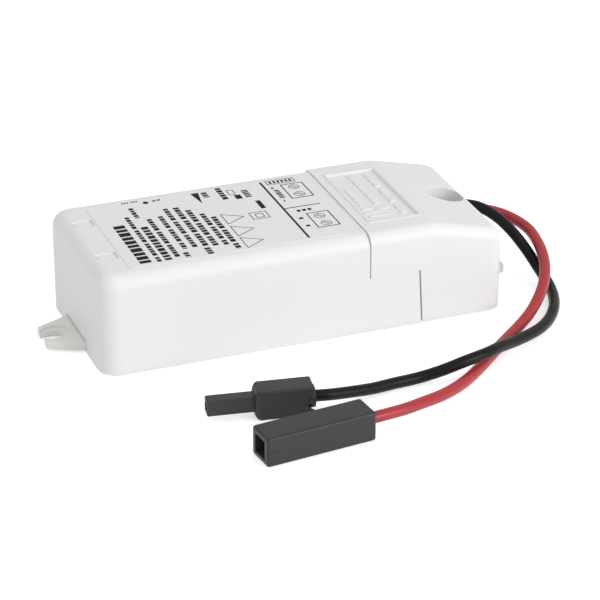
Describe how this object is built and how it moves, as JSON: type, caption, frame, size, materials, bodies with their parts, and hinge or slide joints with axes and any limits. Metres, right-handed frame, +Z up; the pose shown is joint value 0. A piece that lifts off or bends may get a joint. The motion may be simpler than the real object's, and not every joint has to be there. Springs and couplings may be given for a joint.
{
  "type": "led driver",
  "caption": "Compact LED driver: a white moulded case with a screwed terminal cover, slotted fixing lugs, and output leads that end in a pin plug and a socket.",
  "frame": {"origin": "centre of the driver's underside, without its leads, on the surface that it stands on", "axes": "+X along the case towards the terminal cover, +Y across it to the side where the leads come out, +Z up"},
  "size_m": [0.1108, 0.0838, 0.0221],
  "materials": {
    "case_plastic": "finely textured white moulding",
    "base_plastic": "satin warm white moulding",
    "plated_steel": "zinc plated",
    "label_film": "matt film",
    "board_laminate": "solder resist",
    "terminal_plastic": "satin",
    "contact_brass": "tinned",
    "resistor_coating": "satin lacquer",
    "tan_resistor_coating": "satin lacquer",
    "disc_coating": "dipped epoxy",
    "film_capacitor_case": "satin",
    "ferrite": "sintered, dull",
    "enamelled_copper": "enamelled wire",
    "capacitor_sleeve": "shrink sleeve",
    "component_moulding": "moulded epoxy",
    "cream_moulding": "satin",
    "winding_tape": "polyester tape",
    "black_insulation": "smooth soft insulation",
    "red_insulation": "smooth soft insulation",
    "tinned_copper": "tinned strands",
    "connector_plastic": "dark grey nylon"
  },
  "bodies": {
    "root": {"housing_shell": "case_plastic", "terminal_cover": "case_plastic", "base_plate": "base_plastic", "cover_screw": "plated_steel", "rating_label": "label_film", "circuit_board": "board_laminate", "input_terminal_block": "terminal_plastic", "output_terminal_block": "terminal_plastic", "input_clamp_cage_1": "contact_brass", "input_clamp_cage_2": "contact_brass", "output_clamp_cage_1": "contact_brass", "output_clamp_cage_2": "contact_brass", "input_terminal_screw_1": "plated_steel", "input_terminal_screw_2": "plated_steel", "output_terminal_screw_1": "plated_steel", "output_terminal_screw_2": "plated_steel", "fuse_resistor": "resistor_coating", "snubber_resistor": "resistor_coating", "bleed_resistor": "tan_resistor_coating", "varistor": "disc_coating", "y_capacitor": "disc_coating", "film_capacitor": "film_capacitor_case", "choke_core": "ferrite", "choke_winding": "enamelled_copper", "bulk_capacitor": "capacitor_sleeve", "output_capacitor": "capacitor_sleeve", "bridge_rectifier": "component_moulding", "controller_chip": "component_moulding", "power_transistor": "component_moulding", "output_diode": "component_moulding", "optocoupler": "cream_moulding", "transformer_core_front": "ferrite", "transformer_core_back": "ferrite", "transformer_bobbin": "cream_moulding", "transformer_winding": "winding_tape", "black_lead": "black_insulation", "red_lead": "red_insulation", "black_lead_conductor": "tinned_copper", "red_lead_conductor": "tinned_copper", "plug_connector_housing": "connector_plastic", "socket_connector_housing": "connector_plastic", "plug_contact_sleeve": "contact_brass", "socket_contact_pin": "contact_brass"}
  },
  "joints": []
}
